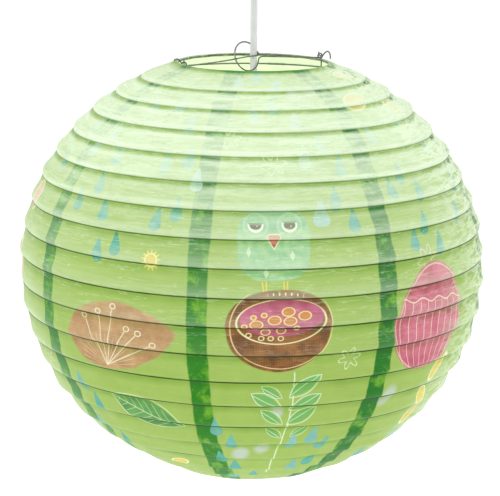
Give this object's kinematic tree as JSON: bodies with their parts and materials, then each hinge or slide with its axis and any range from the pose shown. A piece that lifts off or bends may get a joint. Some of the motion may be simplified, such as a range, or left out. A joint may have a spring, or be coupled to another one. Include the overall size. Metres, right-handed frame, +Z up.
{
  "type": "paper globe pendant shade",
  "caption": "Round printed paper lampshade on wire hoops, held open by a wire stretcher and hung by flex and lampholder from a ceiling rose.",
  "frame": {"origin": "middle of the ceiling rose's back face, on the ceiling", "axes": "+Z up out of the rose into the ceiling, -Z down the flex; -Y is the side shown to the viewer"},
  "size_m": [0.3998, 0.3998, 0.4549],
  "materials": {
    "printed_paper": "matt, thin and printed",
    "wire_steel": "dark drawn wire",
    "flex_sheath": "smooth",
    "white_plastic": "moulded",
    "cream_plastic": "moulded",
    "brass": "plain",
    "solder": "dull",
    "black_glass": "fused",
    "opal_glass": "pearl"
  },
  "bodies": {
    "pendant": {"ceiling_rose_base": "white_plastic", "rose_terminal_block": "white_plastic", "terminal_screw_left": "brass", "terminal_screw_middle": "brass", "terminal_screw_right": "brass", "pendant_cord": "flex_sheath", "holder_cap": "white_plastic", "holder_barrel": "white_plastic", "holder_contact_block": "cream_plastic", "plunger_spring_left": "wire_steel", "plunger_spring_right": "wire_steel"},
    "rose_cover": {"ceiling_rose_cover": "white_plastic", "rose_cord_gland": "white_plastic"},
    "shade_ring": {"holder_shade_ring": "white_plastic"},
    "plunger_left": {"contact_plunger_left": "brass"},
    "plunger_right": {"contact_plunger_right": "brass"},
    "lamp": {"lamp_cap": "brass", "lamp_glass": "opal_glass", "lamp_insulator": "black_glass", "lamp_contact_left": "solder", "lamp_contact_right": "solder"},
    "shade": {"top_ring": "wire_steel", "stretcher_bar": "wire_steel", "paper_skin": "printed_paper"},
    "bottom_hoop": {"bottom_ring": "wire_steel"},
    "leg_left": {"stretcher_leg_left": "wire_steel"},
    "leg_right": {"stretcher_leg_right": "wire_steel"},
    "hoop_01": {"rib_01": "wire_steel"},
    "hoop_02": {"rib_02": "wire_steel"},
    "hoop_03": {"rib_03": "wire_steel"},
    "hoop_04": {"rib_04": "wire_steel"},
    "hoop_05": {"rib_05": "wire_steel"},
    "hoop_06": {"rib_06": "wire_steel"},
    "hoop_07": {"rib_07": "wire_steel"},
    "hoop_08": {"rib_08": "wire_steel"},
    "hoop_09": {"rib_09": "wire_steel"},
    "hoop_10": {"rib_10": "wire_steel"},
    "hoop_11": {"rib_11": "wire_steel"},
    "hoop_12": {"rib_12": "wire_steel"},
    "hoop_13": {"rib_13": "wire_steel"},
    "hoop_14": {"rib_14": "wire_steel"},
    "hoop_15": {"rib_15": "wire_steel"},
    "hoop_16": {"rib_16": "wire_steel"},
    "hoop_17": {"rib_17": "wire_steel"},
    "hoop_18": {"rib_18": "wire_steel"}
  },
  "joints": [
    {"name": "rose_cover_drop", "type": "slide", "parent": "pendant", "child": "rose_cover", "axis": [0, 0, -1], "range_m": [0, 0.04]},
    {"name": "shade_ring_travel", "type": "slide", "parent": "pendant", "child": "shade_ring", "axis": [0, 0, -1], "range_m": [0, 0.018]},
    {"name": "plunger_left_press", "type": "slide", "parent": "pendant", "child": "plunger_left", "axis": [0, 0, 1], "range_m": [0, 0.003], "stiffness_N_per_m": 400, "springref_m": -0.003, "deforming": ["plunger_spring_left"]},
    {"name": "plunger_right_press", "type": "slide", "parent": "pendant", "child": "plunger_right", "axis": [0, 0, 1], "range_m": [0, 0.003], "stiffness_N_per_m": 400, "springref_m": -0.003, "deforming": ["plunger_spring_right"]},
    {"name": "lamp_twist", "type": "hinge", "parent": "pendant", "child": "lamp", "pos_m": [0, 0, -0.1505], "axis": [0, 0, 1], "range_deg": [0, 20]},
    {"name": "shade_swivel", "type": "hinge", "parent": "pendant", "child": "shade", "pos_m": [0, 0, -0.1], "axis": [0, 0, 1], "continuous": true},
    {"name": "shade_fold", "type": "slide", "parent": "shade", "child": "bottom_hoop", "axis": [0, 0, 1], "range_m": [0, 0.309], "deforming": ["paper_skin"]},
    {"name": "leg_left_squeeze", "type": "hinge", "parent": "shade", "child": "leg_left", "pos_m": [-0.05962, -0.00312, -0.1014], "axis": [0.0523, -0.9986, 0], "range_deg": [0, 5], "stiffness_Nm_per_rad": 0.02, "springref_deg": -5.73},
    {"name": "leg_right_squeeze", "type": "hinge", "parent": "shade", "child": "leg_right", "pos_m": [0.05793, 0.01444, -0.0946], "axis": [-0.2419, 0.9703, 0], "range_deg": [0, 5], "stiffness_Nm_per_rad": 0.02, "springref_deg": -5.73},
    {"name": "rib_01_rise", "type": "slide", "parent": "shade", "child": "hoop_01", "axis": [0, 0, 1], "range_m": [0, 0.00958]},
    {"name": "rib_02_rise", "type": "slide", "parent": "shade", "child": "hoop_02", "axis": [0, 0, 1], "range_m": [0, 0.02083]},
    {"name": "rib_03_rise", "type": "slide", "parent": "shade", "child": "hoop_03", "axis": [0, 0, 1], "range_m": [0, 0.03417]},
    {"name": "rib_04_rise", "type": "slide", "parent": "shade", "child": "hoop_04", "axis": [0, 0, 1], "range_m": [0, 0.04931]},
    {"name": "rib_05_rise", "type": "slide", "parent": "shade", "child": "hoop_05", "axis": [0, 0, 1], "range_m": [0, 0.06595]},
    {"name": "rib_06_rise", "type": "slide", "parent": "shade", "child": "hoop_06", "axis": [0, 0, 1], "range_m": [0, 0.08387]},
    {"name": "rib_07_rise", "type": "slide", "parent": "shade", "child": "hoop_07", "axis": [0, 0, 1], "range_m": [0, 0.10284]},
    {"name": "rib_08_rise", "type": "slide", "parent": "shade", "child": "hoop_08", "axis": [0, 0, 1], "range_m": [0, 0.12268]},
    {"name": "rib_09_rise", "type": "slide", "parent": "shade", "child": "hoop_09", "axis": [0, 0, 1], "range_m": [0, 0.1432]},
    {"name": "rib_10_rise", "type": "slide", "parent": "shade", "child": "hoop_10", "axis": [0, 0, 1], "range_m": [0, 0.16413]},
    {"name": "rib_11_rise", "type": "slide", "parent": "shade", "child": "hoop_11", "axis": [0, 0, 1], "range_m": [0, 0.18514]},
    {"name": "rib_12_rise", "type": "slide", "parent": "shade", "child": "hoop_12", "axis": [0, 0, 1], "range_m": [0, 0.20581]},
    {"name": "rib_13_rise", "type": "slide", "parent": "shade", "child": "hoop_13", "axis": [0, 0, 1], "range_m": [0, 0.22569]},
    {"name": "rib_14_rise", "type": "slide", "parent": "shade", "child": "hoop_14", "axis": [0, 0, 1], "range_m": [0, 0.24432]},
    {"name": "rib_15_rise", "type": "slide", "parent": "shade", "child": "hoop_15", "axis": [0, 0, 1], "range_m": [0, 0.26133]},
    {"name": "rib_16_rise", "type": "slide", "parent": "shade", "child": "hoop_16", "axis": [0, 0, 1], "range_m": [0, 0.27643]},
    {"name": "rib_17_rise", "type": "slide", "parent": "shade", "child": "hoop_17", "axis": [0, 0, 1], "range_m": [0, 0.2894]},
    {"name": "rib_18_rise", "type": "slide", "parent": "shade", "child": "hoop_18", "axis": [0, 0, 1], "range_m": [0, 0.30011]}
  ],
  "couplings": [
    {"joint": "rib_01_rise", "follows": "shade_fold", "ratio": 0.03068},
    {"joint": "rib_02_rise", "follows": "shade_fold", "ratio": 0.0671},
    {"joint": "rib_03_rise", "follows": "shade_fold", "ratio": 0.11026},
    {"joint": "rib_04_rise", "follows": "shade_fold", "ratio": 0.15924},
    {"joint": "rib_05_rise", "follows": "shade_fold", "ratio": 0.21312},
    {"joint": "rib_06_rise", "follows": "shade_fold", "ratio": 0.27109},
    {"joint": "rib_07_rise", "follows": "shade_fold", "ratio": 0.33249},
    {"joint": "rib_08_rise", "follows": "shade_fold", "ratio": 0.3967},
    {"joint": "rib_09_rise", "follows": "shade_fold", "ratio": 0.4631},
    {"joint": "rib_10_rise", "follows": "shade_fold", "ratio": 0.53085},
    {"joint": "rib_11_rise", "follows": "shade_fold", "ratio": 0.59884},
    {"joint": "rib_12_rise", "follows": "shade_fold", "ratio": 0.66574},
    {"joint": "rib_13_rise", "follows": "shade_fold", "ratio": 0.73007},
    {"joint": "rib_14_rise", "follows": "shade_fold", "ratio": 0.79037},
    {"joint": "rib_15_rise", "follows": "shade_fold", "ratio": 0.84542},
    {"joint": "rib_16_rise", "follows": "shade_fold", "ratio": 0.89426},
    {"joint": "rib_17_rise", "follows": "shade_fold", "ratio": 0.93624},
    {"joint": "rib_18_rise", "follows": "shade_fold", "ratio": 0.97091}
  ]
}
